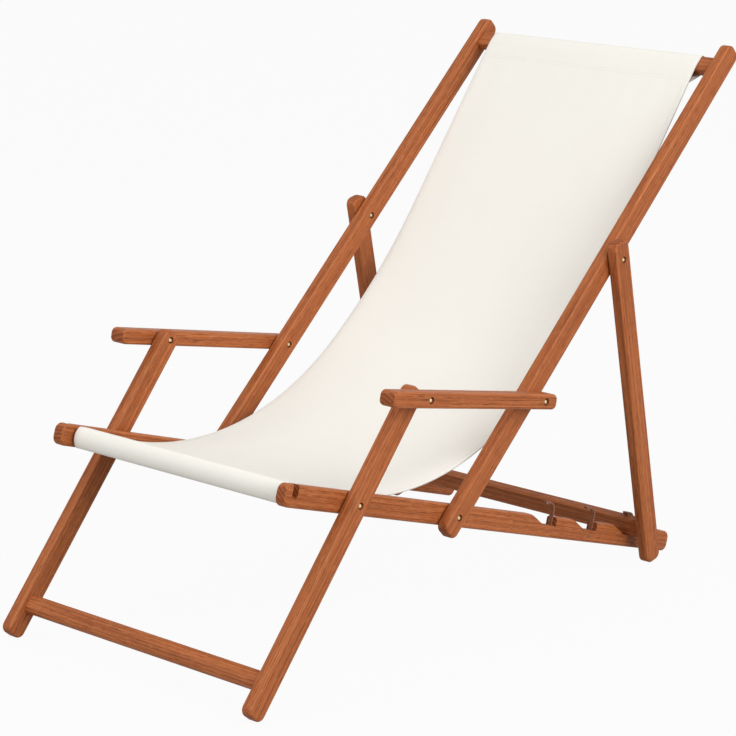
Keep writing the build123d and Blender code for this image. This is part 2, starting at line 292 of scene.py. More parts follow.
class Graph:
    """The nodes of one material or world."""

    def __init__(self, owner: Owner) -> None:
        """Starts without any nodes.

        Args:
            owner: The material or world that the nodes belong to.
        """
        owner.use_nodes = True
        self.owner = owner
        self.tree = owner.node_tree
        self.tree.nodes.clear()

    @classmethod
    def of_material(cls, name: str) -> "Graph":
        """Starts the nodes of a new material."""
        return cls(bpy.data.materials.new(name))

    def connect(self, socket: bpy.types.NodeSocket, value: Any) -> None:
        """Links a value to a socket, or sets the socket to a plain number or colour.

        Args:
            socket: The input to feed.
            value: A Value, a number, or a tuple of numbers.
        """
        if isinstance(value, Value):
            self.tree.links.new(value.socket, socket)
        elif isinstance(value, tuple) and socket.type == "RGBA":
            socket.default_value = (*value, 1.0)
        else:
            socket.default_value = value

    def add(
        self,
        kind: str,
        settings: Optional[dict[str, Any]] = None,
        inputs: Optional[dict[Socket, Any]] = None,
    ) -> bpy.types.Node:
        """Adds any node, sets it up and feeds it.

        Args:
            kind: The node's type.
            settings: Its properties, set before the sockets are fed.
            inputs: Values or links by socket name or number.

        Returns:
            The node.
        """
        made = self.tree.nodes.new(kind)
        for key, value in (settings or {}).items():
            setattr(made, key, value)
        for key, value in (inputs or {}).items():
            self.connect(made.inputs[key], value)
        return made

    def node(
        self,
        kind: str,
        settings: Optional[dict[str, Any]] = None,
        inputs: Optional[dict[Socket, Any]] = None,
        output: Socket = 0,
    ) -> Value:
        """Adds any node for one of its outputs.

        Args:
            kind: The node's type.
            settings: Its properties.
            inputs: Values or links by socket name or number.
            output: The output to hand back, by name or number.

        Returns:
            The chosen output.
        """
        return Value(self, self.add(kind, settings, inputs).outputs[output])

    def math(self, operation: str, *values: Number) -> Value:
        """Adds one Math node.

        Args:
            operation: What it works out.
            values: Its numbers or links, in order.

        Returns:
            The result.
        """
        return self.node("ShaderNodeMath", {"operation": operation}, dict(enumerate(values)))

    def vector(self, operation: str, first: Value, second: Triple, output: Socket = 0) -> Value:
        """Adds one Vector Math node.

        Args:
            operation: What it works out.
            first: The vector that it starts from.
            second: The vector that is laid on it.
            output: The output to hand back, by name or number.

        Returns:
            The result.
        """
        settings = {"operation": operation}
        return self.node("ShaderNodeVectorMath", settings, {0: first, 1: second}, output)

    def mix(self, factor: Number, first: Any, second: Any) -> Value:
        """Mixes two colours.

        Args:
            factor: 0 for the first, 1 for the second.
            first: A colour or a link.
            second: A colour or a link.

        Returns:
            The mixed colour.
        """
        settings = {"data_type": "RGBA", "clamp_factor": True}
        inputs = {MIX_FACTOR: factor, MIX_FIRST: first, MIX_SECOND: second}
        return self.node("ShaderNodeMix", settings, inputs, MIX_RESULT)

    def place(self, location: Triple = ZERO, turn: Triple = ZERO) -> Value:
        """Object coordinates measured from a place and along its own axes.

        Args:
            location: Where the new coordinates start.
            turn: Their rotation, in radians about X, Y and Z.

        Returns:
            The coordinates as a vector.
        """
        coordinates = self.node("ShaderNodeTexCoord", output="Object")
        return self.node(
            "ShaderNodeMapping",
            {"vector_type": "TEXTURE"},
            {"Vector": coordinates, "Location": location, "Rotation": turn},
        )

    def axes(self, vector: Value) -> tuple[Value, ...]:
        """The three numbers of a vector."""
        parts = self.add("ShaderNodeSeparateXYZ", inputs={0: vector})
        return tuple(Value(self, socket) for socket in parts.outputs)

    def noise(self, vector: Value, figure: Figure) -> Value:
        """Soft noise stretched along the axes.

        Args:
            vector: The coordinates.
            figure: The noise's cells and detail.

        Returns:
            The noise, between 0 and 1 about its mean.
        """
        stretched = self.vector("MULTIPLY", vector, figure.cells)
        inputs = {"Vector": stretched, "Scale": 1.0, "Detail": figure.detail}
        return self.node("ShaderNodeTexNoise", inputs=inputs)

    def marks(self, vector: Value, figure: Figure) -> Value:
        """The marks of a figure: 1 on them and 0 between them.

        Args:
            vector: The coordinates.
            figure: The noise, and where its marks rise.

        Returns:
            The marks.
        """
        return self.noise(vector, figure).step(figure.low, figure.high)

    def bump(self, height: Value, strength: float, distance: float) -> Value:
        """A normal that follows small heights.

        Args:
            height: The heights, about 0 to 1.
            strength: How much of the effect is used.
            distance: The height of 1, in metres.

        Returns:
            The normal.
        """
        inputs = {"Height": height, "Strength": strength, "Distance": distance}
        return self.node("ShaderNodeBump", inputs=inputs)

    def seen_directly(self) -> Value:
        """Tells the camera, reflections and clear surfaces from the light on the object.

        Returns:
            A value that is 1 for those rays and 0 for the others.
        """
        path = self.add("ShaderNodeLightPath")
        camera, glossy, clear = (
            Value(self, path.outputs[f"Is {ray} Ray"])
            for ray in ("Camera", "Glossy", "Transmission")
        )
        return self.math("MAXIMUM", self.math("MAXIMUM", camera, glossy), clear)

    def choose(self, factor: Value, first: Value, second: Value) -> Value:
        """Mixes two shaders, the first at a factor of 0 and the second at 1."""
        return self.node("ShaderNodeMixShader", inputs={0: factor, 1: first, 2: second})

    def finish(self, **sockets: Any) -> bpy.types.Material:
        """Ends a material in a Principled shader and hands it back.

        Args:
            sockets: Values by socket name, with _ for a space.

        Returns:
            The finished material.
        """
        inputs = {name.replace("_", " "): value for name, value in sockets.items()}
        shader = self.node("ShaderNodeBsdfPrincipled", inputs=inputs)
        self.add("ShaderNodeOutputMaterial", inputs={"Surface": shader})
        return self.owner


@dataclass(frozen=True)
class Grain:
    """How one timber was cut: where it lies and where its tree's heart was, in metres."""

    centre: Vector
    axes: Matrix
    half_width: float
    half_height: float
    index: int
    heart_aside: Point = (0.012, 0.034)
    heart_below: Point = (-0.075, -0.032)
    heart_shift: int = 5

    @property
    def turn(self) -> Triple:
        """The timber's rotation, in radians about X, Y and Z."""
        return tuple(self.axes.to_euler("XYZ"))

    @property
    def length(self) -> Triple:
        """The direction of the timber's length."""
        return tuple(self.axes @ Vector((0.0, 1.0, 0.0)))

    @property
    def heart(self) -> Point:
        """The tree's heart beside the timber, square to its length.

        Returns:
            Its place across and over the timber's centre line.
        """
        aside = spread(self.index, *self.heart_aside)
        below = spread(self.index + self.heart_shift, *self.heart_below)
        return (aside if self.index % 2 else -aside), below


@dataclass(frozen=True)
class OiledHardwood:
    """Red-brown hardwood, sanded with rounded edges and oiled."""

    pale: Colour = (0.482, 0.147, 0.045)
    ripe: Colour = (0.344, 0.092, 0.024)
    streak: Colour = (0.155, 0.033, 0.008)
    pore: Colour = (0.058, 0.011, 0.003)
    # Pale flecks of the grain, and the painted highlight along the long edges.
    pale_fleck_and_edge_highlight: Colour = (0.590, 0.222, 0.082)
    sway: Figure = Figure((9.0, 1.7, 9.0), 2.0)
    band: Figure = Figure((240.0, 2.2, 240.0), 3.0, 0.44, 0.66, colour=0.20)
    lines: Figure = Figure((620.0, 2.6, 620.0), 2.0, 0.52, 0.60, colour=0.44)
    fibre: Figure = Figure(
        (680.0, 7.0, 680.0), 3.0, 0.44, 0.62, colour=0.26, rough=0.22, height=0.5
    )
    flecks: Figure = Figure((760.0, 60.0, 760.0), 1.0, 0.60, 0.70, colour=0.42)
    pores: Figure = Figure(
        (1100.0, 38.0, 1100.0), 1.0, 0.60, 0.70, colour=0.62, rough=0.12, height=-0.8
    )
    tone: Figure = Figure((14.0, 2.2, 14.0), 1.0, 0.30, 0.72, colour=0.25)
    # How far the noise moves on from one timber to the next.
    next_cut: Triple = (0.31, 0.17, 0.23)
    # The rings of the tree, with their late wood.
    ring: float = 0.0062
    ring_spread: Point = (0.8, 1.25)
    ring_sway: float = 0.030
    late_rise: Point = (0.25, 0.92)
    late_fall: Point = (0.94, 1.0)
    late_colour: float = 0.60
    late_height: float = 0.3
    # The long edges, paler with a painted highlight and some wear, and the sawn ends.
    edge_from: float = 0.0034
    edge_full: float = 0.0012
    edge_highlight_share: float = 0.16
    edge_rough: float = -0.05
    end_facing: Point = (0.72, 0.97)
    end_colour: float = 0.25
    end_late: float = 0.55
    end_rough: float = 0.10
    # The whole surface.
    roughness: float = 0.50
    shine: float = 0.18
    relief: Point = (0.35, 0.00035)

    def late_wood(self, graph: Graph, grain: Grain, cut: Value, local: Value) -> Value:
        """The darker part of each ring round the tree's heart.

        Args:
            graph: The material's nodes.
            grain: How the timber was cut.
            cut: The coordinates of the timber's own marks.
            local: The coordinates along the timber.

        Returns:
            1 in the late wood and 0 in the early wood.
        """
        x, _, z = graph.axes(local)
        heart_x, heart_z = grain.heart
        across, up = x - heart_x, z - heart_z
        sway = graph.noise(cut, self.sway) - NOISE_MEAN
        radius = (across * across + up * up).root() + sway * self.ring_sway
        year = (radius / (self.ring * spread(grain.index, *self.ring_spread))).fraction()
        return year.step(*self.late_rise) * (1.0 - year.step(*self.late_fall))

    def edge_wear_and_highlight(self, graph: Graph, grain: Grain, local: Value) -> Value:
        """The four long edges of a timber, where a painted highlight is laid with some wear.

        Args:
            graph: The material's nodes.
            grain: How the timber was cut.
            local: The coordinates along the timber.

        Returns:
            1 on the edges and 0 on the faces.
        """
        x, _, z = graph.axes(local)
        beside, over = (
            abs(place).step(half - self.edge_from, half - self.edge_full)
            for place, half in ((x, grain.half_width), (z, grain.half_height))
        )
        return beside * over

    def cut_end(self, graph: Graph, grain: Grain) -> Value:
        """The sawn ends of a timber.

        Args:
            graph: The material's nodes.
            grain: How the timber was cut.

        Returns:
            1 on the ends and 0 along the timber.
        """
        normal = graph.node("ShaderNodeNewGeometry", output="Normal")
        facing = graph.vector("DOT_PRODUCT", normal, grain.length, "Value")
        return abs(facing).step(*self.end_facing)

    def dress(self, name: str, grain: Grain) -> bpy.types.Material:
        """Makes the wood of one timber, with rings round its own heart.

        Args:
            name: The material's name.
            grain: How the timber was cut.

        Returns:
            The material.
        """
        graph = Graph.of_material(name)
        local = graph.place(tuple(grain.centre), grain.turn)
        cut = graph.vector("ADD", local, tuple(step * grain.index for step in self.next_cut))
        late = self.late_wood(graph, grain, cut, local)
        edge = self.edge_wear_and_highlight(graph, grain, local)
        end = self.cut_end(graph, grain)
        tone = graph.marks(cut, self.tone)
        fibre = graph.noise(cut, self.fibre)
        pores = graph.marks(cut, self.pores)
        layers = (
            (graph.marks(cut, self.band) * self.band.colour, self.streak),
            (graph.marks(cut, self.lines) * self.lines.colour, self.streak),
            (fibre.step(self.fibre.low, self.fibre.high) * self.fibre.colour, self.streak),
            (graph.marks(cut, self.flecks) * self.flecks.colour, self.pale_fleck_and_edge_highlight),
            (pores * self.pores.colour, self.pore),
            # Painted highlight, with some wear: the long edges are made paler.
            (edge * self.edge_highlight_share, self.pale_fleck_and_edge_highlight),
            (end * (late * self.end_late + self.end_colour), self.streak),
        )
        ripeness = late * self.late_colour + tone * self.tone.colour
        colour = graph.mix(ripeness, self.pale, self.ripe)
        for share, tint in layers:
            colour = graph.mix(share, colour, tint)
        rough = self.roughness + (fibre - NOISE_MEAN) * self.fibre.rough
        rough = rough + pores * self.pores.rough + end * self.end_rough + edge * self.edge_rough
        height = fibre * self.fibre.height + late * self.late_height + pores * self.pores.height
        return graph.finish(
            Base_Color=colour,
            Roughness=rough,
            Normal=graph.bump(height, *self.relief),
            Specular_IOR_Level=self.shine,
        )


@dataclass(frozen=True)
class AgedBrass:
    """Turned brass, bright on the crown, with painted shade darkening it towards the rim where it
    meets the wood.
    """

    bright: Colour = (0.860, 0.680, 0.400)
    dull: Colour = (0.520, 0.350, 0.165)
    rim_painted_shade: Colour = (0.060, 0.034, 0.018)
    spots: Figure = Figure(
        (420.0, 420.0, 420.0), 3.0, 0.46, 0.68, colour=0.55, rough=0.14, height=0.6
    )
    lathe_turns: float = 5200.0
    lathe_height: float = 0.4
    rim_from: float = 0.34
    rim_full: float = 0.78
    rim_shade_share: float = 0.92
    rim_rough: float = 0.20
    roughness: float = 0.26
    relief: Point = (0.22, 0.00012)

    def dress(self, name: str, axis: Point, rim: float) -> bpy.types.Material:
        """Makes the metal of the hardware round one pivot.

        Args:
            name: The material's name.
            axis: The pivot, as (y, z).
            rim: The radius at which the painted shade at the rim is full.

        Returns:
            The material.
        """
        graph = Graph.of_material(name)
        local = graph.place((0.0, *axis))
        _, y, z = graph.axes(local)
        radius = (y * y + z * z).root()
        lathe = (radius * self.lathe_turns).sine() * 0.5 + 0.5
        spots = graph.marks(local, self.spots)
        # Painted shade: the metal is darkened from a third of the rim outwards, where it meets the
        # wood.
        shade = radius.step(rim * self.rim_from, rim * self.rim_full)
        colour = graph.mix(spots * self.spots.colour, self.bright, self.dull)
        colour = graph.mix(shade * self.rim_shade_share, colour, self.rim_painted_shade)
        rough = self.roughness + spots * self.spots.rough + shade * self.rim_rough
        height = lathe * self.lathe_height + spots * self.spots.height
        return graph.finish(
            Base_Color=colour,
            Metallic=1.0,
            Roughness=rough,
            Normal=graph.bump(height, *self.relief),
        )


@dataclass(frozen=True)
class BrownCatch:
    """Brown moulded catch, matt, with a mottle of smoother, paler patches."""

    body: Colour = (0.240, 0.090, 0.048)
    rubbed: Colour = (0.350, 0.155, 0.090)
    mottle: Figure = Figure(
        (260.0, 260.0, 260.0), 3.0, 0.50, 0.72, colour=0.6, rough=-0.12, height=0.4
    )
    grit: Figure = Figure(
        (1900.0, 1900.0, 1900.0), 2.0, colour=0.15, rough=0.10, height=0.6
    )
    roughness: float = 0.52
    shine: float = 0.20
    relief: Point = (0.30, 0.00020)

    def dress(self, name: str) -> bpy.types.Material:
        """Makes the moulded material of the catches.

        Args:
            name: The material's name.

        Returns:
            The material.
        """
        graph = Graph.of_material(name)
        local = graph.place()
        mottle, grit = graph.noise(local, self.mottle), graph.noise(local, self.grit)
        rub = mottle.step(self.mottle.low, self.mottle.high)
        share = rub * self.mottle.colour + grit * self.grit.colour
        height = grit * self.grit.height + mottle * self.mottle.height
        return graph.finish(
            Base_Color=graph.mix(share, self.body, self.rubbed),
            Roughness=self.roughness + rub * self.mottle.rough + grit * self.grit.rough,
            Normal=graph.bump(height, *self.relief),
            Specular_IOR_Level=self.shine,
        )


@dataclass(frozen=True)
class DarkPin:
    """Dark drawn-steel pin with fine marks round it and a brown bloom."""

    steel: Colour = (0.150, 0.125, 0.110)
    brown: Colour = (0.090, 0.045, 0.028)
    drawn: Figure = Figure((90.0, 3400.0, 3400.0), 2.0, rough=0.12)
    bloom: Figure = Figure((300.0, 300.0, 300.0), 3.0, 0.42, 0.66, colour=0.7, rough=0.20)
    metallic: float = 0.9
    bloom_cover: float = 0.5
    roughness: float = 0.40
    relief: Point = (0.20, 0.00010)

    def dress(self, name: str) -> bpy.types.Material:
        """Makes the metal of the pins, drawn along X.

        Args:
            name: The material's name.

        Returns:
            The material.
        """
        graph = Graph.of_material(name)
        local = graph.place()
        drawn, bloom = graph.noise(local, self.drawn), graph.marks(local, self.bloom)
        return graph.finish(
            Base_Color=graph.mix(bloom * self.bloom.colour, self.steel, self.brown),
            Metallic=self.metallic - bloom * self.bloom_cover,
            Roughness=self.roughness + drawn * self.drawn.rough + bloom * self.bloom.rough,
            Normal=graph.bump(drawn, *self.relief),
        )


@dataclass(frozen=True)
class CottonCanvas:
    """Heavy plain-woven cotton in natural white, slightly slubbed."""

    cloth: Colour = (0.880, 0.860, 0.800)
    # Painted shade between the yarns, and the darker patches of the random cloud.
    gap_shade_and_cloud_tint: Colour = (0.790, 0.765, 0.695)
    slub: Colour = (0.920, 0.905, 0.855)
    # Painted shade along the folded edges of the hems.
    fold_painted_shade: Colour = (0.400, 0.392, 0.365)
    warp_slubs: Figure = Figure((820.0, 11.0, 1.0), 2.0, 0.58, 0.74)
    weft_slubs: Figure = Figure((9.0, 760.0, 1.0), 2.0, 0.58, 0.74)
    cloud: Figure = Figure((7.0, 7.0, 1.0), 3.0, 0.32, 0.72, colour=0.10)
    slub_colour: float = 0.28
    slub_rough: float = -0.05
    slub_height: float = 0.4
    yarn: float = 0.0010
    crossing: float = 0.25
    gap_shade_share: float = 0.30
    gap_rough: float = 0.06
    weave_height: float = 0.6
    fold_line: Point = (0.0006, 0.0015)
    fold_shade_share: float = 0.60
    roughness: float = 0.86
    shine: float = 0.20
    sheen: float = 0.12
    sheen_roughness: float = 0.45
    relief: Point = (0.22, 0.00022)

    def dress(self, name: str, flat_map: str, folds: Point) -> bpy.types.Material:
        """Makes the cloth, woven along the piece's own flat map, with painted shade between its
        yarns and along the folded hems.

        Args:
            name: The material's name.
            flat_map: The UV map, which is in metres on the flat cloth.
            folds: The cloth's middle on that map, and how far from it the hems are folded.

        Returns:
            The material.
        """
        graph = Graph.of_material(name)
        flat = graph.node("ShaderNodeUVMap", {"uv_map": flat_map})
        u, v, _ = graph.axes(flat)
        warp, weft = ((place * (math.pi / self.yarn)).sine() for place in (u, v))
        over = (warp * weft).step(-self.crossing, self.crossing)
        weave = over * abs(warp) + (1.0 - over) * abs(weft)
        slubs = graph.marks(flat, self.warp_slubs) + graph.marks(flat, self.weft_slubs)
        cloud = graph.marks(flat, self.cloud)
        centre, reach = folds
        # Painted shade: a thin dark line where the hems are folded.
        fold = 1.0 - abs(abs(u - centre) - reach).step(*self.fold_line)
        # Painted shade in the gaps between the yarns.
        colour = graph.mix((1.0 - weave) * self.gap_shade_share, self.cloth, self.gap_shade_and_cloud_tint)
        colour = graph.mix(slubs * self.slub_colour, colour, self.slub)
        colour = graph.mix(cloud * self.cloud.colour, colour, self.gap_shade_and_cloud_tint)
        colour = graph.mix(fold * self.fold_shade_share, colour, self.fold_painted_shade)
        height = weave * self.weave_height + slubs * self.slub_height
        return graph.finish(
            Base_Color=colour,
            Roughness=self.roughness + slubs * self.slub_rough + (1.0 - weave) * self.gap_rough,
            Normal=graph.bump(height, *self.relief),
            Specular_IOR_Level=self.shine,
            Sheen_Weight=self.sheen,
            Sheen_Roughness=self.sheen_roughness,
        )


@dataclass(frozen=True)
class SewingThread:
    """Twisted off-white thread, a little darker than the cloth."""

    light: Colour = (0.860, 0.835, 0.765)
    dark: Colour = (0.700, 0.670, 0.590)
    twist: Figure = Figure((900.0, 2600.0, 900.0), 2.0, 0.35, 0.65, rough=0.15)
    slant: Triple = (0.6, 0.4, 0.7)
    roughness: float = 0.62
    relief: Point = (0.30, 0.00010)

    def dress(self, name: str) -> bpy.types.Material:
        """Makes the thread of the stitches.

        Args:
            name: The material's name.

        Returns:
            The material.
        """
        graph = Graph.of_material(name)
        twist = graph.noise(graph.place(turn=self.slant), self.twist)
        lit = twist.step(self.twist.low, self.twist.high)
        return graph.finish(
            Base_Color=graph.mix(lit, self.dark, self.light),
            Roughness=self.roughness + twist * self.twist.rough,
            Normal=graph.bump(twist, *self.relief),
        )


@dataclass
class Woodwork:
    """The timbers, bars and dowels, each cut from its own piece of wood.

    The sizes are half widths and half heights, in metres.
    """

    rail: Point = (0.010, 0.017)
    armrest: Point = (0.015, 0.012)
    bar: Point = (0.010, 0.015)
    dowel: Point = (0.012, 0.012)
    wood: OiledHardwood = field(default_factory=OiledHardwood)

    def lie(self) -> dict[Timber, tuple[Point, float]]:
        """How each timber lies in the side view, read from the pivots that it joins.

        Returns:
            A pivot on the timber's centre line, and its angle in radians.
        """
        leg, back = Pivot.LEG.place, Pivot.BACK.place
        front, rear = Pivot.ARMREST_FRONT.place, Pivot.ARMREST_REAR.place
        strut = Pivot.STRUT.place
        return {
            Timber.SEAT_RAIL: (back, heading(leg, back)),
            Timber.LEG: (leg, heading(leg, front)),
            Timber.BACK_RAIL: (back, heading(back, strut)),
            Timber.ARMREST: (front, heading(front, rear)),
            Timber.STRUT: (strut, heading(middle(Bar.STRUT.value), strut)),
        }

    def cuts(self) -> Iterator[tuple[str, Vector, Matrix, Point]]:
        """Where every wooden node was cut.

        Yields:
            The node, its centre, its axes, and its half width and half height.
        """
        lie = self.lie()
        for timber, (start, angle) in lie.items():
            half = self.armrest if timber is Timber.ARMREST else self.rail
            for side in Side:
                node = f"{timber.value}_{side.value}"
                low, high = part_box(node)
                yield node, Vector(((low.x + high.x) / 2, *start)), tilted(angle), half
        bars = {
            Bar.FRONT: lie[Timber.SEAT_RAIL][1],
            Bar.TOP: lie[Timber.BACK_RAIL][1] + QUARTER_TURN,
            Bar.LEG: lie[Timber.LEG][1] + QUARTER_TURN,
            Bar.STRUT: lie[Timber.STRUT][1] + QUARTER_TURN,
        }
        for bar, angle in bars.items():
            yield bar.value, Vector((0.0, *middle(bar.value))), crosswise(angle), self.bar
        for bar in Bar:
            yield bar.dowels, Vector((0.0, *middle(bar.dowels))), crosswise(0.0), self.dowel

    def dress(self) -> list[str]:
        """Dresses every wooden node.

        Returns:
            The names of the nodes.
        """
        done: list[str] = []
        for node, centre, axes, half in self.cuts():
            grain = Grain(centre, axes, *half, len(done))
            cover(node, self.wood.dress(f"wood_{node}", grain))
            done.append(node)
        return done


@dataclass
class Fittings:
    """Bolts, nuts and washers at the pivots, and the catches with their pins, in metres."""

    head_radius: float = 0.0048
    washer_radius: float = 0.0090
    brass: AgedBrass = field(default_factory=AgedBrass)
    catch: BrownCatch = field(default_factory=BrownCatch)
    pin: DarkPin = field(default_factory=DarkPin)

    def dress(self) -> list[str]:
        """Dresses every metal and moulded node.

        Returns:
            The names of the nodes.
        """
        finishes: dict[str, bpy.types.Material] = {}
        for pivot in Pivot:
            heads = self.brass.dress(f"brass_{pivot.value}", pivot.place, self.head_radius)
            rings = self.brass.dress(f"washer_{pivot.value}", pivot.place, self.washer_radius)
            for piece, metal in (("bolts", heads), ("nuts", heads), ("washers", rings)):
                finishes[f"{pivot.value}_{piece}"] = metal
        moulded = self.catch.dress("catch_moulded")
        for notch in Notch:
            for side in Side:
                finishes[f"{notch.value}_catch_{side.value}"] = moulded
        finishes["catch_pins"] = self.pin.dress("pin_steel")
        for node, finish in finishes.items():
            cover(node, finish)
        return list(finishes)


@dataclass(frozen=True)
class Run:
    """One stretch of the cloth's side view: a straight or an arc."""

    start: Point
    angle: float
    length: float
    bend: float

    def at(self, distance: float) -> tuple[Point, float]:
        """The point and direction part of the way along.

        Args:
            distance: How far from the start of the run.

        Returns:
            The point as (y, z), and the direction in radians.
        """
        turned = self.angle + self.bend * distance
        if abs(self.bend) < LEAST_BEND:
            return along(self.start, self.angle, distance, 0.0), turned
        y = (math.sin(turned) - math.sin(self.angle)) / self.bend
        z = (math.cos(self.angle) - math.cos(turned)) / self.bend
        return (self.start[0] + y, self.start[1] + z), turned


@dataclass
class ClothLine:
    """The whole line of the cloth seen from the side, from its front tail to its top tail."""

    start: Point
    angle: float
    runs: list[Run] = field(default_factory=list)

    def end(self) -> tuple[Point, float]:
        """Where the line has got to.

        Returns:
            The point as (y, z), and the direction in radians.
        """
        if not self.runs:
            return self.start, self.angle
        return self.runs[-1].at(self.runs[-1].length)

    def straight(self, length: float) -> None:
        """Adds a straight run."""
        point, angle = self.end()
        self.runs.append(Run(point, angle, length, 0.0))

    def turn(self, radius: float, angle: float) -> None:
        """Adds an arc.

        Args:
            radius: Its radius.
            angle: How far it turns, to the left if positive.
        """
        point, start = self.end()
        bend = math.copysign(1.0 / radius, angle)
        self.runs.append(Run(point, start, radius * abs(angle), bend))

    def length(self) -> float:
        """The length of the whole line."""
        return sum(run.length for run in self.runs)

    def at(self, distance: float) -> tuple[Point, float]:
        """The point and direction at a distance from the front tail.

        Args:
            distance: How far along the line.

        Returns:
            The point as (y, z), and the direction in radians.
        """
        for run in self.runs:
            if distance <= run.length:
                return run.at(distance)
            distance -= run.length
        return self.end()

    def stations(self, longest: float, widest: float) -> list[float]:
        """Distances that divide every run finely enough.

        Args:
            longest: The longest step along the line.
            widest: The widest turn in one step, in radians.

        Returns:
            The distances, from 0 to the whole length.
        """
        marks, reached = [0.0], 0.0
        for run in self.runs:
            steps = max(run.length / longest, run.length * abs(run.bend) / widest)
            count = max(1, math.ceil(steps))
            marks += [reached + run.length * n / count for n in range(1, count + 1)]
            reached += run.length
        return marks


@dataclass
class Sling:
    """The canvas sling: one cloth with hems at its sides and a sleeve sewn at each end.

    The sizes are in metres and radians.
    """

    # The cloth and its folded hems.
    width: float = 0.434
    thickness: float = 0.0007
    hem: float = 0.012
    layer: float = 0.00085
    # The two bars, and the sleeves round them.
    bar_short: float = 0.020
    bar_long: float = 0.030
    bar_corner: float = 0.006
    lift: float = 0.00135
    sleeve: float = 0.030
    tail_gap: float = 0.0024
    front_swell: float = math.radians(40.0)
    # The line over the seat and up the back.
    front_drop: float = math.radians(8.2)
    seat_radius: float = 0.509
    back_radius: float = 1.097
    seat_rise: float = math.radians(36.7)
    back_lead: float = math.radians(9.6)
    # How the stretched cloth gives in the seat and gathers at the seams.
    hollow: float = 0.0022
    gather: float = 0.00035
    gather_from: float = 0.012
    gather_reach: float = 0.075
    narrow_wave: float = 121.0
    broad_wave: float = 57.0
    broad_share: float = 0.6
    front_phase: float = 0.7
    top_phase: float = 2.1
    # How finely the cloth is divided.
    hem_columns: int = 3
    fold_columns: int = 5
    field_columns: int = 54
    row_step: float = 0.0085
    row_turn: float = math.radians(11.0)
    # The sewing.
    stitch_pitch: float = 0.0050
    stitch_length: float = 0.0034
    stitch_sides: int = 6
    stitch_rings: int = 4
    thread: float = 0.00030
    thread_proud: float = 0.35
    hem_start: float = 0.010
    hem_clear: float = 0.012
    hem_inset: float = 0.003
    seam_clear: float = 0.008
    seam_rows: Point = (0.0015, 0.0065)
    canvas: CottonCanvas = field(default_factory=CottonCanvas)
    sewing: SewingThread = field(default_factory=SewingThread)
    flat_map: str = "flat_cloth"
    line: ClothLine = field(init=False)
    leave_at: float = field(init=False)
    meet_at: float = field(init=False)

    def __post_init__(self) -> None:
        """Lays the line of the cloth from the bars and pivots of the frame."""
        self.line = self.lay_line()

    @property
    def fold(self) -> float:
        """The length of cloth that turns round a folded edge."""
        return math.pi * self.layer / 2

    def cut_width(self) -> float:
        """The width of the cloth before its hems are folded."""
        return self.width - self.layer + 2 * (self.hem + self.fold)

    @property
    def seams(self) -> Point:
        """Where the front and the top sleeve are sewn, along the line."""
        return self.leave_at + self.sleeve, self.meet_at - self.sleeve

    def lay_line(self) -> ClothLine:
        """Lays the cloth round the front bar, over the seat and back, and round the top bar.

        Returns:
            The line of the cloth.
        """
        wrap = self.bar_corner + self.lift
        short, tall = self.bar_short / 2 - self.bar_corner, self.bar_long / 2 - self.bar_corner
        rail = heading(Pivot.LEG.place, Pivot.BACK.place)
        back = heading(Pivot.BACK.place, Pivot.STRUT.place)
        fall, rise = rail - self.front_drop, back + self.back_lead
        front, top = middle(Bar.FRONT.value), middle(Bar.TOP.value)
        leave = along(along(front, rail, short, tall), fall, 0.0, wrap)
        meet = along(along(top, back, -tall, short), rise, 0.0, wrap)
        fall_length, rise_length = self.tangents(leave, fall, meet, rise)

        tail = along(leave, fall, self.sleeve, -self.tail_gap)
        corner = along(front, rail, short, -tall)
        reach = math.dist(tail, corner)
        first = heading(tail, corner) + math.asin(wrap / reach)
        line = ClothLine(tail, first)
        line.straight(math.sqrt(reach**2 - wrap**2))
        line.turn(wrap, -((first - rail - math.pi) % math.tau))
        line.straight(2 * short)
        line.turn(wrap, self.front_swell - QUARTER_TURN)
        line.turn(wrap + tall / math.sin(self.front_swell), -2 * self.front_swell)
        line.turn(wrap, self.front_swell - QUARTER_TURN)
        line.straight(2 * short)
        line.turn(wrap, -self.front_drop)
        self.leave_at = line.length()
        line.straight(fall_length)
        line.turn(self.seat_radius, self.seat_rise - fall)
        line.turn(self.back_radius, rise - self.seat_rise)
        line.straight(rise_length)
        self.meet_at = line.length()
        line.turn(wrap, -self.back_lead)
        line.straight(2 * tall)
        line.turn(wrap, -QUARTER_TURN)
        line.straight(2 * short)
        line.turn(wrap, -QUARTER_TURN)
        line.straight(2 * tall)
        tail = along(meet, rise, -self.sleeve, -self.tail_gap)
        corner = along(top, back, -tall, -short)
        reach = math.dist(tail, corner)
        last = heading(corner, tail) - math.asin(wrap / reach)
        line.turn(wrap, -((back - math.pi - last) % math.tau))
        line.straight(math.sqrt(reach**2 - wrap**2))
        return line

    def tangents(self, leave: Point, fall: float, meet: Point, rise: float) -> Point:
        """The straight lengths that join the seat and back arcs to the bars.

        Args:
            leave: Where the cloth leaves the front bar.
            fall: Its direction there.
            meet: Where it meets the top bar.
            rise: Its direction there.

        Returns:
            The length that falls from the front bar and the one that rises to the top bar.
        """
        seat = ClothLine(leave, fall)
        seat.turn(self.seat_radius, self.seat_rise - fall)
        seat.turn(self.back_radius, rise - self.seat_rise)
        bent, _ = seat.end()
        y, z = meet[0] - bent[0], meet[1] - bent[1]
        across = math.sin(rise - fall)
        first = (y * math.sin(rise) - z * math.cos(rise)) / across
        last = (z * math.cos(fall) - y * math.sin(fall)) / across
        return first, last

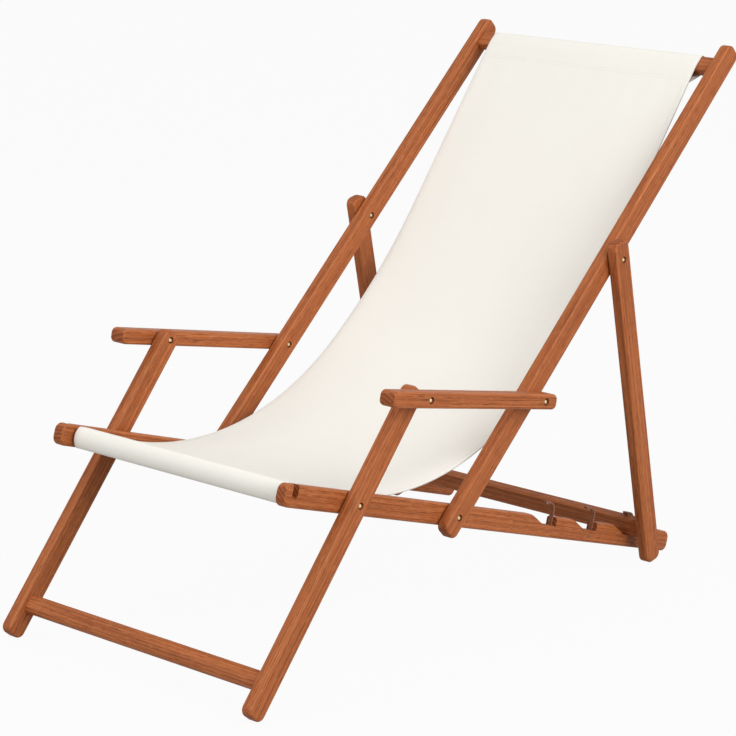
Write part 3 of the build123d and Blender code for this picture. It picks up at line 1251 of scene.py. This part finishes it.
    def across(self, flat: float) -> Point:
        """Where a point of the flat cloth's width goes once the hems are folded under.

        Args:
            flat: The distance from the left cut edge.

        Returns:
            The place across the chair from its middle, and the depth below the upper layer.
        """
        radius = self.layer / 2
        straight = self.width / 2 - radius
        if flat > self.cut_width() / 2:
            x, depth = self.across(self.cut_width() - flat)
            return -x, depth
        if flat < self.hem:
            return -straight + self.hem - flat, -self.layer
        if flat < self.hem + self.fold:
            angle = -QUARTER_TURN - (flat - self.hem) / radius
            return -straight + radius * math.cos(angle), -radius + radius * math.sin(angle)
        return -straight + flat - self.hem - self.fold, 0.0

    def ease(self, x: float, distance: float) -> float:
        """How far the cloth stands off its line: hollow in the seat, gathered at the seams.

        Args:
            x: The place across the chair.
            distance: The place along the line.

        Returns:
            The offset to the upper side.
        """
        first, last = self.seams
        if not first < distance < last:
            return 0.0
        share = (distance - first) / (last - first)
        level = math.sin(math.pi * share) ** 2
        offset = -self.hollow * level * (1.0 - (2.0 * x / self.width) ** 2)
        for seam, phase in ((first, self.front_phase), (last, self.top_phase)):
            away = abs(distance - seam)
            fade = math.exp(-away / self.gather_reach) * min(1.0, away / self.gather_from)
            broad = self.broad_share * math.sin(x * self.broad_wave + 2.0 * phase)
            waves = math.sin(x * self.narrow_wave + phase) + broad
            offset += self.gather * fade * waves
        return offset

    def place(self, x: float, distance: float, lift: float) -> Vector:
        """A point on or beside the cloth.

        Args:
            x: The place across the chair.
            distance: The place along the line.
            lift: The height over the cloth's middle layer.

        Returns:
            The point in the frame.
        """
        point, angle = self.line.at(distance)
        y, z = along(point, angle, 0.0, lift + self.ease(x, distance))
        return Vector((x, y, z))

    def columns(self) -> list[float]:
        """Places across the flat cloth, close together at the folded hems.

        Returns:
            The distances from the left cut edge.
        """
        inner = self.hem + self.fold
        count = self.hem_columns
        edge = [self.hem * n / count for n in range(count)]
        count = self.fold_columns
        edge += [self.hem + self.fold * n / count for n in range(count + 1)]
        span, count = self.cut_width() - 2 * inner, self.field_columns
        body = [inner + span * n / count for n in range(1, count)]
        return edge + body + [self.cut_width() - flat for flat in reversed(edge)]

    def build_cloth(self) -> bpy.types.Object:
        """Bends a flat grid along the line of the cloth and folds its hems.

        Returns:
            The cloth.
        """
        columns = self.columns()
        rows = self.line.stations(self.row_step, self.row_turn)
        wide, long = len(columns) - 1, len(rows) - 1
        mesh = bmesh.new()
        flat_map = mesh.loops.layers.uv.new(self.flat_map)
        bmesh.ops.create_grid(mesh, x_segments=wide, y_segments=long, size=1.0)
        flat: dict[bmesh.types.BMVert, Point] = {}
        for vert in mesh.verts:
            u = columns[round((vert.co.x + 1.0) / 2.0 * wide)]
            v = rows[round((vert.co.y + 1.0) / 2.0 * long)]
            flat[vert] = (u, v)
            x, depth = self.across(u)
            vert.co = self.place(x, v, depth)
        for face in mesh.faces:
            face.smooth = True
            for loop in face.loops:
                loop[flat_map].uv = flat[loop.vert]
        centre = self.cut_width() / 2
        folds = centre, centre - self.hem - self.fold / 2
        material = self.canvas.dress("canvas_woven", self.flat_map, folds)
        cloth = new_piece("sling_cloth", mesh, material)
        wall = cloth.modifiers.new("thickness", "SOLIDIFY")
        wall.thickness = self.thickness
        wall.offset = 0.0
        return cloth

    def stitches(self) -> Iterator[tuple[float, float, float, Row]]:
        """Every stitch of the hems and seams.

        Yields:
            The place across, the place along, the height over the middle layer, and the row's way.
        """
        above = self.thickness / 2 + self.thread * self.thread_proud
        below = -self.layer - above
        first, last = self.seams
        aside = self.width / 2 - self.hem + self.hem_inset
        count = int((last - first - self.hem_clear) / self.stitch_pitch)
        for n in range(count):
            distance = first + self.hem_start + n * self.stitch_pitch
            for x in (-aside, aside):
                yield x, distance, above, Row.ALONG
                yield x, distance, below, Row.ALONG
        count = int((self.width - self.seam_clear) / self.stitch_pitch)
        for seam, inward in ((first, -1.0), (last, 1.0)):
            for n in range(count + 1):
                x = (n - count / 2) * self.stitch_pitch
                for inset in self.seam_rows:
                    yield x, seam + inward * inset, above, Row.ACROSS

    def build_stitches(self) -> bpy.types.Object:
        """Sews the hems and both sleeves with short rounded stitches.

        Returns:
            The stitches, as one piece.
        """
        one = bmesh.new()
        bmesh.ops.create_uvsphere(
            one,
            u_segments=self.stitch_sides,
            v_segments=self.stitch_rings,
            radius=1.0,
            matrix=Matrix.Diagonal((self.thread, self.thread, self.stitch_length / 2, 1.0)),
        )
        for face in one.faces:
            face.smooth = True
        # The operator's faces come in another order each run, so they are sorted.
        one.verts.index_update()
        count = len(one.verts)
        one.faces.sort(key=lambda face: face.verts[0].index * count + face.verts[1].index)
        stitch = bpy.data.meshes.new("stitch")
        one.to_mesh(stitch)
        one.free()
        mesh = bmesh.new()
        for x, distance, lift, row in self.stitches():
            if row is Row.ACROSS:
                tilt = Matrix.Rotation(QUARTER_TURN, 4, "Y")
            else:
                _, angle = self.line.at(distance)
                tilt = Matrix.Rotation(angle - QUARTER_TURN, 4, "X")
            placed = Matrix.Translation(self.place(x, distance, lift)) @ tilt
            stitch.transform(placed)
            mesh.from_mesh(stitch)
            stitch.transform(placed.inverted())
        bpy.data.meshes.remove(stitch)
        return new_piece("sling_stitches", mesh, self.sewing.dress("thread_twisted"))

    def build(self) -> list[str]:
        """Returns:
            The names of its pieces.
        """
        cloth, stitches = self.build_cloth(), self.build_stitches()
        start, end = (self.place(0.0, seam, 0.0) for seam in self.seams)
        for piece in (cloth, stitches):
            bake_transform(piece)
            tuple(start)
            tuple(end)
        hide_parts("canvas_sling")
        self.line.length()
        return [cloth.name, stitches.name]


@dataclass(frozen=True)
class Lamp:
    """A soft square lamp, with its size in metres and its power in watts."""

    name: str
    place: Triple
    size: float
    power: float


@dataclass
class Studio:
    """White floor, soft lamps and the camera, in metres and radians."""

    target: Triple = (0.0, -0.03808, 0.40193)
    azimuth: float = math.radians(41.370)
    elevation: float = math.radians(14.114)
    distance: float = 4.200
    lens: float = 130.42
    sensor: float = 36.0
    shift: Point = (0.00100, -0.02807)
    roll: float = math.radians(0.230)
    clip: Point = (0.05, 200.0)
    floor_size: float = 30.0
    floor_drop: float = 0.0006
    floor_matt: Colour = (0.38, 0.38, 0.37)
    floor_glow: float = 0.95
    ambient: float = 0.46
    ambient_tint: Colour = (1.0, 0.995, 0.985)
    lamps: tuple[Lamp, ...] = (
        Lamp("side_lamp", (4.0, -0.3, 2.4), 4.0, 166.0),
        Lamp("front_lamp", (-1.3, -3.7, 2.2), 2.4, 54.0),
        Lamp("top_lamp", (0.0, -0.9, 3.8), 3.0, 23.0),
    )

    def background(self) -> None:
        """Makes the world white to the camera and in reflections, and soft grey as light."""
        world = bpy.data.worlds.new("studio")
        bpy.context.scene.world = world
        graph = Graph(world)
        light, white = (
            graph.node("ShaderNodeBackground", inputs={"Color": tint, "Strength": strength})
            for tint, strength in ((self.ambient_tint, self.ambient), (WHITE, 1.0))
        )
        shown = graph.choose(graph.seen_directly(), light, white)
        graph.add("ShaderNodeOutputWorld", inputs={"Surface": shown})

    def floor(self) -> bpy.types.Object:
        """Lays a white floor that keeps the chair's shadow.

        Returns:
            The floor.
        """
        mesh = bmesh.new()
        bmesh.ops.create_grid(mesh, x_segments=1, y_segments=1, size=self.floor_size)
        bmesh.ops.translate(mesh, verts=mesh.verts, vec=Vector((0.0, 0.0, -self.floor_drop)))
        graph = Graph.of_material("white_floor")
        matt = graph.node("ShaderNodeBsdfDiffuse", inputs={"Color": self.floor_matt})
        glow = graph.node("ShaderNodeEmission", inputs={"Color": WHITE, "Strength": 1.0})
        shown = graph.choose(graph.seen_directly() * self.floor_glow, matt, glow)
        graph.add("ShaderNodeOutputMaterial", inputs={"Surface": shown})
        return new_piece("floor", mesh, graph.owner)

    def stand(
        self, data: Union[bpy.types.Light, bpy.types.Camera], place: Vector, turn: Quaternion
    ) -> bpy.types.Object:
        """Puts a lamp or the camera in the scene.

        Args:
            data: The lamp's or camera's own settings.
            place: Where it stands.
            turn: How it is turned.

        Returns:
            The lamp or camera as an object.
        """
        item = bpy.data.objects.new(data.name, data)
        item.location = place
        item.rotation_mode = "QUATERNION"
        item.rotation_quaternion = turn
        bpy.context.scene.collection.objects.link(item)
        return item

    def hang_lamps(self) -> None:
        """Hangs the soft square lamps, each turned to the chair."""
        for lamp in self.lamps:
            data = bpy.data.lights.new(lamp.name, "AREA")
            data.shape, data.size, data.energy = "SQUARE", lamp.size, lamp.power
            place = Vector(lamp.place)
            self.stand(data, place, (Vector(self.target) - place).to_track_quat("-Z", "Y"))

    def camera(self) -> None:
        """Sets the camera where the photograph was taken from."""
        data = bpy.data.cameras.new("camera")
        data.sensor_width, data.lens = self.sensor, self.lens
        data.shift_x, data.shift_y = self.shift
        data.clip_start, data.clip_end = self.clip
        level = math.cos(self.elevation)
        away = Vector(
            (
                math.sin(self.azimuth) * level,
                -math.cos(self.azimuth) * level,
                math.sin(self.elevation),
            )
        )
        turn = (-away).to_track_quat("-Z", "Y") @ Quaternion((0.0, 0.0, 1.0), self.roll)
        place = Vector(self.target) + away * self.distance
        bpy.context.scene.camera = self.stand(data, place, turn)

    def build(self) -> None:
        """Sets up everything round the chair."""
        bpy.context.scene.view_settings.view_transform = "Standard"
        self.background()
        self.floor()
        self.hang_lamps()
        self.camera()


def main() -> None:
    """Dresses the chair, makes its sling and sets up the studio."""
    logging.basicConfig(level=logging.INFO, format="%(name)s: %(message)s")
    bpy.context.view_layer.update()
    Studio().build()
    for maker in (Sling().build, Woodwork().dress, Fittings().dress):
        for piece in maker():
            log.info("made %s", piece)


if __name__ == "__main__":
    main()
